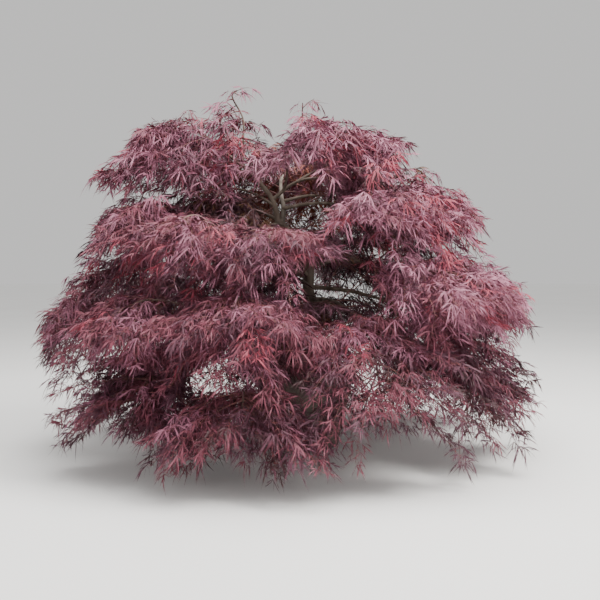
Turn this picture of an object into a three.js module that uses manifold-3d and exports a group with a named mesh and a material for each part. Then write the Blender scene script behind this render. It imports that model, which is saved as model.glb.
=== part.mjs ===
// A weeping laceleaf Japanese maple in a plain clay pot, in millimetres with +Z up. The origin is the
// middle of the pot's flat underside, and -Y is the side that the photograph shows. A direction is an
// azimuth in degrees about the pot's axis, from +X towards +Y.

import * as THREE from "three";
import { mergeVertices } from "three/addons/utils/BufferGeometryUtils.js";
import Module from "manifold-3d";

const wasm = await Module();
wasm.setup();

const CLEAR = 0.3; // between two pieces that touch
const LEAF_CLEAR = 1.2; // between a leaf or twig and any piece that it isn't part of
const UP = new THREE.Vector3(0, 0, 1);

// Pot and soil
const POT_HEIGHT = 330;
const FOOT_RADIUS = 150;
const RIM_RADIUS = 222;
const RIM_DEPTH = 54;
const RIM_STEP = 12;
const WALL = 16;
const CHAMFER = 5;
const SOIL_TOP = 300;
const SOIL_LEVEL_RADIUS = 80;
const SOIL_DISH = 8; // how much lower the soil lies at the wall than round the trunk
const POT_SIDES = 32;

// Trunk and the two stems of its fork: a few points each, then the radius at the root and the tip
const TRUNK = {
  route: [
    [0, 0, 290], [14, 0, 420], [34, 5, 560], [19, 2, 680], [17, 0, 800], [-45, 0, 905], [-118, 0, 985],
  ],
  radii: [33, 17],
};
const ROOT_FLARE = 22; // how much wider the trunk is where it meets the soil
const FLARE_HEIGHT = 42;
const FLARE_LOBES = 5;
const FLARE_LOBE_DEPTH = 0.3;
const STEMS = {
  stem_left: {
    route: [[-105, 0, 955], [-144, 0, 1081], [-236, 0, 1190], [-300, -10, 1243]],
    radii: [14, 6],
  },
  stem_right: {
    route: [
      [-96, 4, 950], [-90, 22, 1040], [-102, 70, 1110], [-100, 165, 1185], [-45, 290, 1232], [73, 414, 1250],
    ],
    radii: [10.5, 5.5],
  },
};

// Boughs: the limb that each grows from and the share of that limb's length where it leaves, then
// its end as azimuth, reach and height, how far its middle arches up, and its radius at the root
const BOUGHS = {
  left_spray: ["stem_left", 0.26, 189, 345, 1120, 20, 6.5],
  leader: ["stem_left", 0.88, 180, 262, 1400, 0, 6.5],
  right_upper: ["stem_left", 0.34, 0, 150, 1136, 58, 8],
  top_right: ["right_upper", 0.42, 0, 100, 1222, 4, 6.5],
  top_centre: ["right_upper", 0.2, 225, 85, 1236, 0, 6.5],
  left_upper: ["stem_left", 0.1, 186, 330, 1015, 20, 7],
  left_front: ["trunk", 0.955, 228, 333, 888, 26, 8],
  front: ["trunk", 0.9, 254, 311, 894, 24, 8],
  front_right: ["stem_right", 0.14, -50, 262, 1034, 16, 8],
  right_back: ["stem_right", 0.2, 45, 330, 1080, 30, 8],
  back_left: ["stem_right", 0.4, 128, 330, 1080, 12, 8],
  back: ["trunk", 0.86, 88, 300, 900, 30, 9],
  left_outer: ["trunk", 0.8, 187, 430, 880, 45, 11],
  left_front_low: ["trunk", 0.62, 230, 455, 648, 52, 10],
  front_low: ["trunk", 0.55, 254, 415, 650, 46, 10],
  right_outer: ["trunk", 0.76, -7, 417, 830, 50, 11],
  right_front: ["trunk", 0.7, -46, 413, 766, 46, 10],
  right_back_low: ["trunk", 0.66, 35, 400, 760, 40, 10],
  back_left_low: ["trunk", 0.6, 150, 400, 740, 40, 10],
  skirt_left_front: ["trunk", 0.36, 245, 410, 341, 60, 10],
  skirt_left: ["trunk", 0.42, 212, 490, 400, 60, 10],
  skirt_right_front: ["trunk", 0.47, -62, 394, 601, 20, 10],
  skirt_right: ["trunk", 0.545, -16, 358, 639, 12, 10],
  skirt_back_right: ["trunk", 0.44, 40, 380, 480, 60, 10],
  skirt_back: ["trunk", 0.4, 90, 380, 470, 60, 10],
  skirt_back_left: ["trunk", 0.38, 150, 380, 470, 60, 10],
};
const BOUGH_TIP_SHARE = 0.55; // radius at a bough's tip against that at its root
const BOUGH_WANDER = 0.035; // how far a bough strays sideways, as a share of its length

// Masses of foliage, each carried at the tip of the limb of its name: the tip of its furthest leaf as
// azimuth, reach and height, the width of its fan of twigs, and how steeply its end hangs in degrees
const MASSES = {
  top_left: [182, 810, 1150, 460, 40, "stem_left"],
  top_back: [84, 800, 1060, 460, 45, "stem_right"],
  left_spray: [185, 930, 1105, 180, 20],
  leader: [180, 205, 1543, 130, -15],
  top_right: [0, 430, 1130, 370, 42],
  top_centre: [-78, 480, 1100, 440, 48],
  left_upper: [198, 925, 770, 470, 42],
  left_front: [232, 880, 700, 440, 50],
  front: [260, 830, 660, 400, 45],
  front_right: [-62, 760, 810, 420, 42],
  right_upper: [-6, 780, 835, 470, 42],
  right_back: [42, 860, 830, 460, 40],
  back_left: [130, 890, 810, 460, 40],
  back: [86, 910, 620, 460, 42],
  left_outer: [186, 1150, 250, 480, 56],
  left_front_low: [219, 1000, 330, 460, 60],
  front_low: [252, 950, 350, 460, 60],
  right_outer: [-4, 915, 430, 480, 52],
  right_front: [-45, 920, 440, 460, 60],
  right_back_low: [32, 970, 330, 480, 60],
  back_left_low: [152, 1045, 330, 500, 60],
  skirt_left_front: [256, 945, 32, 540, 56],
  skirt_left: [225, 955, 36, 520, 60],
  skirt_right_front: [-72, 915, 110, 540, 56],
  skirt_right: [-27, 900, 60, 540, 58],
  skirt_back_right: [40, 910, 60, 540, 60],
  skirt_back: [94, 930, 50, 540, 60],
  skirt_back_left: [154, 970, 50, 540, 60],
};
const STEM_STIFFNESS = 0.45; // how far a stem keeps its direction at each end, as a share of its length
const STEM_TIP_RADIUS = 3.6;
const TWIGS_PER_MASS = 5;
const TWIG_FAN = 56; // degrees between a twig and the stem that it leaves
const TWIG_FAN_RANGE = 16;
const TWIG_FULLEST = 0.45; // where along the stem its longest twigs are
const TWIG_DROP = 0.34; // how far a twig's end falls, as a share of its length
const TWIG_RADII = [3, 2.4];
const GROUND_CLEARANCE = 28;

// Leaves, each larger than life and standing for a spray of finely cut ones. A leaf is drawn with five
// of its fingers and the notches between them, as angles from its midline and shares of its length.
const LEAF_LENGTH = 196;
const LEAF_SHARE_OF_WIDTH = 0.6; // the longest leaf of a narrow mass
const LEAF_THICKNESS = 8;
const LEAF_DROOP = 0.3; // how far its tip hangs below its plane, as a share of its length
const LEAF_HEEL = 0.13; // from where its twig ends to its middle, as a share of its length
const LEAF_FINGERS = [[0, 1], [19, 0.33], [38, 0.92], [60, 0.3], [82, 0.74]];
const END_LEAF = { turnRange: 30, hang: 0.7 };
const SIDE_LEAF = { place: 0.4, turn: 30, turnRange: 30, hang: 0.4, size: 0.9 };
const STALK = { length: 26, rise: 0.2, radius: 1.8 };
// How a leaf that would touch something is turned, in degrees, and made smaller before it is skipped
const LEAF_TRIES = [
  [0, 1], [20, 0.95], [-20, 0.95], [10, 0.8], [-40, 0.85], [40, 0.85], [0, 0.65], [26, 0.65], [-26, 0.65],
];

// The two openings in the crown that show its limbs, on the plane Y = 0 as seen from the eye. Leaves
// further back than their depth still show through them.
const EYE = new THREE.Vector3(0, -3500, 770);
const OPENINGS = [
  { left: -290, right: 120, bottom: 955, top: 1225 },
  { left: -18, right: 300, bottom: 615, top: 800 },
];
const OPENING_DEPTH = 150;

// Sides and lengthwise steps of the faceted limbs
const FACETS = { trunk: [12, 13], stem: [8, 10], bough: [6, 5] };
const MASS_STEM_STEPS = 5;

const COLOURS = {
  clay: 0x4d443e,
  soil: 0x3a2a22,
  bark: 0x6f6259,
  paleBark: 0x8d857c,
  upperLeaves: 0x7a4256,
  middleLeaves: 0x653245,
  lowerLeaves: 0x572a38,
};
const ROUGHNESS = { clay: 0.8, soil: 0.95, bark: 0.85, leaves: 0.6 };
const UPPER_TIER = 900; // a mass belongs to the tier that its tip's height is over
const MIDDLE_TIER = 300;

function point([x, y, z]) {
  return new THREE.Vector3(x, y, z);
}

function polar(azimuth, reach, height) {
  const angle = THREE.MathUtils.degToRad(azimuth);
  return new THREE.Vector3(reach * Math.cos(angle), reach * Math.sin(angle), height);
}

function level(vector) {
  return new THREE.Vector3(vector.x, vector.y, 0).normalize();
}

function taper(from, to) {
  return (share) => from + (to - from) * share;
}

// A repeatable source of numbers from 0 to 1
function seeded(seed) {
  let state = seed >>> 0;
  return () => {
    state = (Math.imul(state, 1664525) + 1013904223) >>> 0;
    return state / 2 ** 32;
  };
}

function toSolid(geometry) {
  const bare = geometry.clone();
  bare.deleteAttribute("normal");
  bare.deleteAttribute("uv");
  const merged = mergeVertices(bare, 1e-4);
  return new wasm.Manifold(new wasm.Mesh({
    numProp: 3,
    vertProperties: new Float32Array(merged.attributes.position.array),
    triVerts: new Uint32Array(merged.index.array),
  }));
}

function toGeometry(solid) {
  const mesh = solid.getMesh();
  const geometry = new THREE.BufferGeometry();
  geometry.setAttribute("position", new THREE.BufferAttribute(new Float32Array(mesh.vertProperties), 3));
  geometry.setIndex(new THREE.BufferAttribute(new Uint32Array(mesh.triVerts), 1));
  geometry.computeVertexNormals();
  return geometry;
}

// The largest body of a solid, without loose scraps and with its sealed hollows filled
function mainBody(solid) {
  const bodies = solid.decompose();
  bodies.sort((a, b) => b.volume() - a.volume());
  return bodies[0];
}

function boxesMeet(a, b) {
  return [0, 1, 2].every((axis) => a.min[axis] < b.max[axis] && b.min[axis] < a.max[axis]);
}

function clearOf(solid, others) {
  const box = solid.boundingBox();
  return others.every((other) => !boxesMeet(box, other.boundingBox()) || solid.intersect(other).isEmpty());
}

// A profile of radius and height turned about the Z axis
function turned(profile) {
  const points = profile.map(([radius, height]) => new THREE.Vector2(radius, height));
  return new THREE.LatheGeometry(points, POT_SIDES).rotateX(Math.PI / 2);
}

const SHOULDER = POT_HEIGHT - RIM_DEPTH;
const SHOULDER_RADIUS = RIM_RADIUS - RIM_STEP;

function potSolid() {
  return toSolid(turned([
    [0, 0],
    [FOOT_RADIUS - CHAMFER, 0],
    [FOOT_RADIUS, CHAMFER],
    [SHOULDER_RADIUS, SHOULDER],
    [RIM_RADIUS - CHAMFER / 2, SHOULDER + CHAMFER],
    [RIM_RADIUS, POT_HEIGHT - CHAMFER],
    [RIM_RADIUS - CHAMFER, POT_HEIGHT],
    [RIM_RADIUS - WALL, POT_HEIGHT],
    [SHOULDER_RADIUS - WALL, SHOULDER],
    [FOOT_RADIUS - WALL, WALL],
    [0, WALL],
  ]));
}

function soilSolid() {
  return toSolid(turned([
    [0, WALL + CLEAR],
    [FOOT_RADIUS - WALL - CLEAR, WALL + CLEAR],
    [SHOULDER_RADIUS - WALL - CLEAR, SHOULDER],
    [SHOULDER_RADIUS - WALL - CLEAR, SOIL_TOP - SOIL_DISH],
    [SOIL_LEVEL_RADIUS, SOIL_TOP],
    [0, SOIL_TOP],
  ]));
}

// A cylinder bent along a curve, its radius given by the share of the length and the angle round it.
// Grown by a clearance, it is the space that its neighbours keep out of.
function limbSolid(curve, radiusAt, [sides, steps], grow = 0) {
  const geometry = new THREE.CylinderGeometry(1, 1, 1, sides, steps);
  const frames = curve.computeFrenetFrames(steps, false);
  const position = geometry.attributes.position;
  const wider = grow / Math.cos(Math.PI / sides);
  for (let i = 0; i < position.count; i += 1) {
    const x = position.getX(i);
    const z = position.getZ(i);
    const ring = Math.round((position.getY(i) + 0.5) * steps);
    const share = ring / steps;
    const radius = radiusAt(share, Math.atan2(z, x)) + wider;
    const place = curve.getPointAt(share);
    const endShift = ring === 0 ? -grow : ring === steps ? grow : 0;
    place.addScaledVector(frames.tangents[ring], endShift);
    place.addScaledVector(frames.binormals[ring], x * radius);
    place.addScaledVector(frames.normals[ring], z * radius);
    position.setXYZ(i, place.x, place.y, place.z);
  }
  return toSolid(geometry);
}

function smoothCurve(points) {
  return new THREE.CatmullRomCurve3(points, false, "catmullrom");
}

// Every limb made so far, with its curve, its radius, its body and the space round it
const limbs = {};

function addLimb(name, curve, radiusAt, facets) {
  let body = limbSolid(curve, radiusAt, facets);
  for (const other of Object.values(limbs)) {
    body = body.subtract(other.space);
  }
  limbs[name] = { curve, radiusAt, body: mainBody(body), space: limbSolid(curve, radiusAt, facets, CLEAR) };
}

// The trunk flares into root lobes at its flat cut, which rests on the soil
function growTrunk() {
  const curve = smoothCurve(TRUNK.route.map(point));
  const length = curve.getLength();
  const radiusAt = (share, angle = 0) => {
    const flare = ROOT_FLARE * Math.exp((-share * length) / FLARE_HEIGHT);
    return taper(...TRUNK.radii)(share) + flare * (1 + FLARE_LOBE_DEPTH * Math.cos(FLARE_LOBES * angle));
  };
  addLimb("trunk", curve, radiusAt, FACETS.trunk);
  const block = 2 * RIM_RADIUS;
  const ground = new THREE.BoxGeometry(block, block, block).translate(0, 0, SOIL_TOP + CLEAR - block / 2);
  limbs.trunk.body = mainBody(limbs.trunk.body.subtract(toSolid(ground)));
}

function growStems() {
  for (const [name, { route, radii }] of Object.entries(STEMS)) {
    addLimb(name, smoothCurve(route.map(point)), taper(...radii), FACETS.stem);
  }
}

// A bough leaves its parent's middle, arches to its end and wanders a little on the way
function growBoughs() {
  Object.entries(BOUGHS).forEach(([name, [parent, share, azimuth, reach, height, arch, girth]], index) => {
    const random = seeded(index + 1);
    const root = limbs[parent].curve.getPointAt(share);
    const tip = polar(azimuth, reach, height);
    const side = level(tip.clone().sub(root)).cross(UP);
    const stray = BOUGH_WANDER * root.distanceTo(tip);
    const route = [0, 1 / 3, 2 / 3, 1].map((along) => {
      const bend = along > 0 && along < 1 ? (random() * 2 - 1) * stray : 0;
      const place = root.clone().lerp(tip, along).addScaledVector(side, bend);
      return place.addScaledVector(UP, 4 * arch * along * (1 - along));
    });
    addLimb(name, smoothCurve(route), taper(girth, girth * BOUGH_TIP_SHARE), FACETS.bough);
  });
}

// A mass's stem goes on from its limb's tip in the same line and hangs over, so that the leaf at its
// end reaches the mass's tip
function stemCurve(carrier, tip, hang, leafLength) {
  const heading = carrier.curve.getTangentAt(1);
  const start = carrier.curve.getPointAt(1).addScaledVector(heading, CLEAR);
  const fall = level(tip.clone().sub(start)).multiplyScalar(Math.cos(hang));
  fall.addScaledVector(UP, -Math.sin(hang));
  const end = tip.clone().addScaledVector(fall, -(1 + LEAF_HEEL) * leafLength);
  end.addScaledVector(UP, LEAF_DROOP * leafLength);
  const pull = STEM_STIFFNESS * start.distanceTo(end);
  const first = start.clone().addScaledVector(heading, pull);
  const second = end.clone().addScaledVector(fall, -pull);
  return new THREE.CubicBezierCurve3(start, first, second, end);
}

// Three corners round a curve at each step, and the faces between them: left, right and below
function twigCorners(curve, radiusAt, steps, across, grow) {
  const corners = [];
  for (let i = 0; i <= steps; i += 1) {
    const tangent = curve.getTangentAt(i / steps);
    const side = across.clone().addScaledVector(tangent, -across.dot(tangent)).normalize();
    const above = tangent.clone().cross(side);
    const middle = curve.getPointAt(i / steps).addScaledVector(tangent, i === 0 ? -grow : 0);
    const radius = radiusAt(i / steps) + 2 * grow;
    corners.push(middle.clone().addScaledVector(side, radius));
    corners.push(middle.clone().addScaledVector(side, -radius));
    corners.push(middle.clone().addScaledVector(above, -radius));
  }
  const faces = [0, 2, 1];
  for (let left = 0; left < 3 * steps; left += 3) {
    for (const [a, b] of [[left + 1, left], [left, left + 2], [left + 2, left + 1]]) {
      faces.push(a, a + 3, b + 3, a, b + 3, b);
    }
  }
  return { corners, faces };
}

// A three-sided twig along a curve that opens into a leaf, as one closed surface. The leaf is a thin
// star of pointed fingers that hang. Grown by a clearance, it is the space that others keep out of.
function sprigSolid(curve, radiusAt, steps, along, length, grow = 0) {
  const across = UP.clone().cross(along).normalize();
  const normal = along.clone().cross(across);
  const { corners, faces } = twigCorners(curve, radiusAt, steps, across, grow);
  const middle = curve.getPointAt(1).addScaledVector(along, LEAF_HEEL * length);
  const half = LEAF_THICKNESS / 2 + grow;
  const top = corners.push(middle.clone().addScaledVector(normal, half)) - 1;
  const bottom = corners.push(middle.clone().addScaledVector(normal, -half)) - 1;
  const rimCorner = ([angle, share]) => {
    const turn = THREE.MathUtils.degToRad(angle);
    const reach = share * length + grow;
    const place = middle.clone().addScaledVector(along, reach * Math.cos(turn));
    place.addScaledVector(across, reach * Math.sin(turn));
    return corners.push(place.addScaledVector(UP, -LEAF_DROOP * share * share * length)) - 1;
  };
  const leftRim = LEAF_FINGERS.map(rimCorner);
  const rightRim = LEAF_FINGERS.slice(1).reverse().map(([angle, share]) => rimCorner([-angle, share]));
  const [left, right, below] = [3 * steps, 3 * steps + 1, 3 * steps + 2];
  const topRim = [...leftRim, left, right, ...rightRim];
  const bottomRim = [...leftRim, left, below, right, ...rightRim];
  topRim.forEach((corner, i) => faces.push(top, corner, topRim[(i + 1) % topRim.length]));
  bottomRim.forEach((corner, i) => faces.push(bottom, bottomRim[(i + 1) % bottomRim.length], corner));
  const geometry = new THREE.BufferGeometry().setFromPoints(corners);
  geometry.setIndex(faces);
  return toSolid(geometry);
}

function inOpening(place) {
  const scale = -EYE.y / (place.y - EYE.y);
  const x = place.x * scale;
  const z = EYE.z + (place.z - EYE.z) * scale;
  const near = place.y < OPENING_DEPTH;
  return near && OPENINGS.some((o) => x > o.left && x < o.right && z > o.bottom && z < o.top);
}

// The twigs of a mass leave its stem to the left and right in turn, longest near the middle
function twigRule(curve, width, random) {
  return Array.from({ length: TWIGS_PER_MASS }, (_, i) => {
    const share = (i + 0.9) / (TWIGS_PER_MASS + 0.6);
    const root = curve.getPointAt(share);
    const outward = level(curve.getTangentAt(share));
    const side = outward.clone().cross(UP).multiplyScalar(i % 2 === 0 ? 1 : -1);
    const fan = THREE.MathUtils.degToRad(TWIG_FAN + (random() - 0.5) * TWIG_FAN_RANGE);
    const way = outward.clone().multiplyScalar(Math.cos(fan)).addScaledVector(side, Math.sin(fan));
    const fullness = 1 - 2 * (share - TWIG_FULLEST) ** 2;
    return { root, way, length: (width / 2) * fullness * (0.9 + 0.25 * random()) };
  });
}

function turnedAside(way, degrees) {
  return way.clone().applyAxisAngle(UP, THREE.MathUtils.degToRad(degrees));
}

// A level way, turned aside by some degrees and hanging
function hangingWay(way, turn, hang) {
  const along = turnedAside(level(way), turn);
  along.z = -hang;
  return along.normalize();
}

// The straight twig from a place along a way, which falls by a share of its length
function twigLine(root, way, length, drop) {
  const end = root.clone().addScaledVector(way, length).addScaledVector(UP, -length * drop);
  return new THREE.LineCurve3(root, end);
}

// The first of a leaf's tries that shows, stays off the ground and touches nothing near it
function fittedSprig(near, lineAt, radiusAt, { way, turn, hang, size }) {
  for (const [aside, scale] of LEAF_TRIES) {
    const length = size * scale;
    const line = lineAt(turn + aside);
    const along = hangingWay(way, turn + aside, hang);
    const tip = line.getPoint(1).addScaledVector(along, length);
    const low = tip.z - LEAF_DROOP * length < GROUND_CLEARANCE;
    const space = sprigSolid(line, radiusAt, 1, along, length, LEAF_CLEAR);
    if (!low && !inOpening(line.getPoint(1)) && !inOpening(tip) && clearOf(space, near)) {
      return { line, space, solid: sprigSolid(line, radiusAt, 1, along, length) };
    }
  }
  return null;
}

// Twigs with a leaf at the end of each, and then a second leaf on a stalk from each twig's side
function growMass(mass, others) {
  const random = seeded(mass.seed);
  const twigs = [];
  for (const { root, way, length } of twigRule(mass.curve, mass.width, random)) {
    const turn = (random() - 0.5) * END_LEAF.turnRange;
    const size = mass.leafLength * (0.85 + 0.25 * random());
    const lineAt = (leafTurn) => twigLine(root, turnedAside(way, leafTurn - turn), length, TWIG_DROP);
    const near = [...others, ...twigs.map((twig) => twig.space)];
    const leaf = { way, turn, hang: END_LEAF.hang, size };
    const twig = fittedSprig(near, lineAt, taper(...TWIG_RADII), leaf);
    const side = random() < 0.5 ? 1 : -1;
    const sideTurn = side * (SIDE_LEAF.turn + random() * SIDE_LEAF.turnRange);
    if (twig) {
      const sideLeaf = { way, turn: sideTurn, hang: SIDE_LEAF.hang, size: size * SIDE_LEAF.size };
      twigs.push({ ...twig, sideLeaf });
    }
  }
  const sprigs = [...twigs];
  for (const twig of twigs) {
    const otherSprigs = sprigs.filter((other) => other !== twig);
    const near = [...others, mass.space, ...otherSprigs.map((other) => other.space)];
    const root = twig.line.getPoint(SIDE_LEAF.place);
    const stalkAt = (turn) => {
      return twigLine(root, hangingWay(twig.sideLeaf.way, turn, 0), STALK.length, -STALK.rise);
    };
    const sprig = fittedSprig(near, stalkAt, taper(STALK.radius, STALK.radius), twig.sideLeaf);
    if (sprig) {
      sprigs.push(sprig);
    }
  }
  return mainBody(sprigs.reduce((body, sprig) => body.add(sprig.solid), mass.stem));
}

// The stem of every mass comes first, so that no mass grows through another's stem
function massStems() {
  return Object.entries(MASSES).map(([name, [azimuth, reach, height, width, hang, carrierName]], index) => {
    const carrier = limbs[carrierName ?? name];
    const leafLength = Math.min(LEAF_LENGTH, LEAF_SHARE_OF_WIDTH * width);
    const tip = polar(azimuth, reach, height);
    const curve = stemCurve(carrier, tip, THREE.MathUtils.degToRad(hang), leafLength);
    const along = curve.getTangentAt(1);
    const radiusAt = taper(carrier.radiusAt(1), STEM_TIP_RADIUS);
    const stem = sprigSolid(curve, radiusAt, MASS_STEM_STEPS, along, leafLength);
    const space = sprigSolid(curve, radiusAt, MASS_STEM_STEPS, along, leafLength, LEAF_CLEAR);
    return { name, height, curve, width, leafLength, stem, space, seed: 100 + index };
  });
}

function leafColour(height) {
  if (height > UPPER_TIER) {
    return COLOURS.upperLeaves;
  }
  return height > MIDDLE_TIER ? COLOURS.middleLeaves : COLOURS.lowerLeaves;
}

const group = new THREE.Group();

function addNode(name, solid, color, roughness) {
  const material = new THREE.MeshStandardMaterial({ color, roughness, metalness: 0 });
  const mesh = new THREE.Mesh(toGeometry(solid), material);
  mesh.name = name;
  group.add(mesh);
}

growTrunk();
growStems();
growBoughs();
const pot = potSolid();
addNode("pot", pot, COLOURS.clay, ROUGHNESS.clay);
addNode("soil", soilSolid(), COLOURS.soil, ROUGHNESS.soil);
for (const [name, { body }] of Object.entries(limbs)) {
  const color = name === "stem_right" ? COLOURS.paleBark : COLOURS.bark;
  addNode(name in BOUGHS ? `bough_${name}` : name, body, color, ROUGHNESS.bark);
}

const masses = massStems();
const grown = [pot, ...Object.values(limbs).map((limb) => limb.body)];
for (const mass of masses) {
  const otherStems = masses.filter((other) => other !== mass).map((other) => other.space);
  const body = growMass(mass, [...grown, ...otherStems]);
  grown.push(body);
  addNode(`foliage_${mass.name}`, body, leafColour(mass.height), ROUGHNESS.leaves);
}

export default group;
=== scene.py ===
"""The looks of a weeping laceleaf maple in a plain clay pot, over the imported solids.

Limbs and main twigs grow by the source's rules from the source's tables, in millimetres with +Z up,
and finer growth is added to them. -Y is the side that the photograph shows.
"""

import math

import bpy
import numpy as np
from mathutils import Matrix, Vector, noise


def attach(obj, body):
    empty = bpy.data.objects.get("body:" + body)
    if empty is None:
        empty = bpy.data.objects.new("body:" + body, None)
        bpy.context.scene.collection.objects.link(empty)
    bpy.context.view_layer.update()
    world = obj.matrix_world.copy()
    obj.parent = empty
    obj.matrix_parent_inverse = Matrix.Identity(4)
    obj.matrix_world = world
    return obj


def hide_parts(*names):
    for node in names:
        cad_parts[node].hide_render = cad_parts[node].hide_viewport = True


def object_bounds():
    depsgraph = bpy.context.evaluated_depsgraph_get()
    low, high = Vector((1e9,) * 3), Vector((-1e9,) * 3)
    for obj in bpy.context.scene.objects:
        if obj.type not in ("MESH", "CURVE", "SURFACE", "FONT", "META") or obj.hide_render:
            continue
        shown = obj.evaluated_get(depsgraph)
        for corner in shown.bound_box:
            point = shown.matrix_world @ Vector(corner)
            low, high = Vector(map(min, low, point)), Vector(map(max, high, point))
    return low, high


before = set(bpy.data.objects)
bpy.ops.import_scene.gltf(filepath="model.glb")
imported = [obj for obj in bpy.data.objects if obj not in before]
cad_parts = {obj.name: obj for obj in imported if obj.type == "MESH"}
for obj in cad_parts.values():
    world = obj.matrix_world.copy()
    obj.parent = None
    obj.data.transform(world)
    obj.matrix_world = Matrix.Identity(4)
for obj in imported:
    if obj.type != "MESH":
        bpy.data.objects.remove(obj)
CAD_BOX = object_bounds()
MM = 0.001
UP = np.array([0.0, 0.0, 1.0])

# Pot and soil, in millimetres
POT_HEIGHT = 330
FOOT_RADIUS = 150
RIM_RADIUS = 222
RIM_DEPTH = 54
RIM_STEP = 12
WALL = 16
FOOT_ROUND = 6
BAND_ROUND = 5
BAND_FLAT = (20, 14)  # starts this far over the rim band's foot, and ends this far under its top
LIP_ROUNDS = (7, 5)  # outside and inside
RIM_INSET = 0.2
THROWING_RIBS = (0.35, 0.55)  # height, and radians for each millimetre
POT_WOBBLE = (0.8, 1.3, 0.01)  # height, the noise's scale, and how fast it changes upwards
POT_SIDES = 144
POT_RINGS = 60
SOIL_EDGE = RIM_RADIUS - RIM_STEP - WALL
SOIL_TOP = 300
SOIL_LEVEL_RADIUS = 80
SOIL_DISH = 8
SOIL_LUMPS = ((2.6, 0.03, 0.0), (1.5, 0.12, 4.0))  # height, the noise's scale and its layer
SOIL_RINGS = 46
SOIL_SIDES = 120
CHIPS = 900
CHIP_HALVES = (0.8, 2.2)  # the least and the greatest half of a side
CHIP_CORNERS = (0.8, 1.2)
BARK_CHIP = (2.6, 1.2, 0.6)  # how much longer, wider and higher than a cube
BARK_CHIP_SHARE = 0.35
SOIL_CRUMB = (1, 1, 0.8)
CHIP_LIFT = 0.4
CHIP_MARGIN = 10  # from the wall

# Trunk and stems: the points of each route, and its radius at the root and at the tip
TRUNK = (
    [(0, 0, 290), (14, 0, 420), (34, 5, 560), (19, 2, 680), (17, 0, 800), (-45, 0, 905), (-118, 0, 985)],
    (33, 17),
)
ROOT_FLARE = 22
FLARE_HEIGHT = 42
FLARE_LOBES = 5
FLARE_LOBE_DEPTH = 0.3
STEMS = {
    "stem_left": ([(-105, 0, 955), (-144, 0, 1081), (-236, 0, 1190), (-300, -10, 1243)], (14, 6)),
    "stem_right": (
        [(-96, 4, 950), (-90, 22, 1040), (-102, 70, 1110), (-100, 165, 1185), (-45, 290, 1232),
         (73, 414, 1250)],
        (10.5, 5.5),
    ),
}

# Boughs: parent limb, the share of its length where the bough leaves, then the bough's end as
# azimuth, reach and height, how far its middle arches up, and its radius at the root
BOUGHS = {
    "left_spray": ("stem_left", 0.26, 189, 345, 1120, 20, 6.5),
    "leader": ("stem_left", 0.88, 180, 262, 1400, 0, 6.5),
    "right_upper": ("stem_left", 0.34, 0, 150, 1136, 58, 8),
    "top_right": ("right_upper", 0.42, 0, 100, 1222, 4, 6.5),
    "top_centre": ("right_upper", 0.2, 225, 85, 1236, 0, 6.5),
    "left_upper": ("stem_left", 0.1, 186, 330, 1015, 20, 7),
    "left_front": ("trunk", 0.955, 228, 333, 888, 26, 8),
    "front": ("trunk", 0.9, 254, 311, 894, 24, 8),
    "front_right": ("stem_right", 0.14, -50, 262, 1034, 16, 8),
    "right_back": ("stem_right", 0.2, 45, 330, 1080, 30, 8),
    "back_left": ("stem_right", 0.4, 128, 330, 1080, 12, 8),
    "back": ("trunk", 0.86, 88, 300, 900, 30, 9),
    "left_outer": ("trunk", 0.8, 187, 430, 880, 45, 11),
    "left_front_low": ("trunk", 0.62, 230, 455, 648, 52, 10),
    "front_low": ("trunk", 0.55, 254, 415, 650, 46, 10),
    "right_outer": ("trunk", 0.76, -7, 417, 830, 50, 11),
    "right_front": ("trunk", 0.7, -46, 413, 766, 46, 10),
    "right_back_low": ("trunk", 0.66, 35, 400, 760, 40, 10),
    "back_left_low": ("trunk", 0.6, 150, 400, 740, 40, 10),
    "skirt_left_front": ("trunk", 0.36, 245, 410, 341, 60, 10),
    "skirt_left": ("trunk", 0.42, 212, 490, 400, 60, 10),
    "skirt_right_front": ("trunk", 0.47, -62, 394, 601, 20, 10),
    "skirt_right": ("trunk", 0.545, -16, 358, 639, 12, 10),
    "skirt_back_right": ("trunk", 0.44, 40, 380, 480, 60, 10),
    "skirt_back": ("trunk", 0.4, 90, 380, 470, 60, 10),
    "skirt_back_left": ("trunk", 0.38, 150, 380, 470, 60, 10),
}
BOUGH_TIP_SHARE = 0.55
BOUGH_WANDER = 0.035
STEPS_PER_POINT = 40
BEZIER_STEPS = 120
HEADING_STEP = 0.01

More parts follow.
